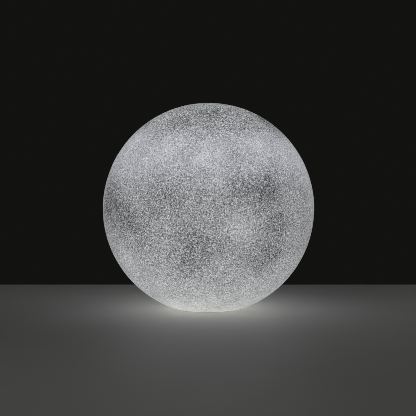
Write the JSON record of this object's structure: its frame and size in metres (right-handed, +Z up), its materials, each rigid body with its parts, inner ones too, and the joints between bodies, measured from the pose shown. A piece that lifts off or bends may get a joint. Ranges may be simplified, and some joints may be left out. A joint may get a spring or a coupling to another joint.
{
  "type": "moon lamp",
  "caption": "Cordless table lamp: a glowing, moon-speckled globe that turns and lifts off a round light base with a push button and a hinged charging port door underneath.",
  "frame": {"origin": "on the table, under the middle of the globe", "axes": "+Z up along the globe's axis; -Y faces the picture's camera"},
  "size_m": [0.3998, 0.3998, 0.3883],
  "materials": {
    "globe_plastic": "translucent white moulding lit from inside, with fine grey speckle and soft cloudy patches",
    "opal_plastic": "opal diffuser, lit from inside",
    "white_plastic": "fine moulded texture",
    "button_plastic": "smooth, dished",
    "black_plastic": "moulded",
    "clear_plastic": "clear acrylic, polished ends",
    "felt": "pressed felt",
    "soft_rubber": "matt silicone rubber",
    "screw_steel": "nickel plated",
    "spring_steel": "bright spring steel",
    "socket_steel": "plated can with a black tongue",
    "circuit_board": "green solder mask",
    "component_black": "moulded packages",
    "plug_white": "moulded nylon",
    "cell_wrap": "plain blue shrink wrap over a metal can",
    "lead_red": "silicone insulation",
    "lead_black": "silicone insulation",
    "spreader_aluminium": "plain rolled sheet",
    "light_board": "white solder mask over an aluminium core",
    "light_chip": "phosphor window in a white package"
  },
  "bodies": {
    "base": {"base_housing": "white_plastic", "base_cover": "white_plastic", "cover_gasket": "soft_rubber", "cover_screws": "screw_steel", "rubber_feet": "soft_rubber", "globe_clips": "spring_steel", "clip_screws": "screw_steel", "port_door_pin": "screw_steel", "charge_socket": "socket_steel", "switch_body": "black_plastic", "button_spring": "spring_steel", "light_pipe": "clear_plastic", "control_board": "circuit_board", "board_components": "component_black", "board_screws": "screw_steel", "lead_plugs": "plug_white", "battery_cells": "cell_wrap", "battery_holder": "black_plastic", "battery_contacts": "spring_steel", "battery_springs": "spring_steel", "holder_screws": "screw_steel", "battery_lead_red": "lead_red", "battery_lead_black": "lead_black", "led_lead_red": "lead_red", "led_lead_black": "lead_black", "lead_grommet": "soft_rubber", "heat_spreader": "spreader_aluminium", "led_board": "light_board", "led_chips": "light_chip", "led_board_screws": "screw_steel", "light_dome": "opal_plastic", "dome_screws": "screw_steel"},
    "ring": {"glide_ring": "felt"},
    "globe": {"globe_shell": "globe_plastic", "mouth_collar": "white_plastic", "collar_screws": "screw_steel"},
    "button": {"power_button": "button_plastic", "switch_plunger": "black_plastic"},
    "door": {"port_door": "white_plastic"}
  },
  "joints": [
    {"name": "globe_turn", "type": "hinge", "parent": "base", "child": "ring", "pos_m": [0, 0, 0.004], "axis": [0, 0, 1], "continuous": true},
    {"name": "globe_lift", "type": "slide", "parent": "ring", "child": "globe", "axis": [0, 0, 1], "range_m": [0, 0.1]},
    {"name": "button_press", "type": "slide", "parent": "base", "child": "button", "axis": [0, 0, 1], "range_m": [0, 0.0008], "stiffness_N_per_m": 800, "springref_m": -0.001, "deforming": ["button_spring"]},
    {"name": "port_door_hinge", "type": "hinge", "parent": "base", "child": "door", "pos_m": [0, 0.0132, 0.0025], "axis": [-1, 0, 0], "range_deg": [0, 100]}
  ]
}
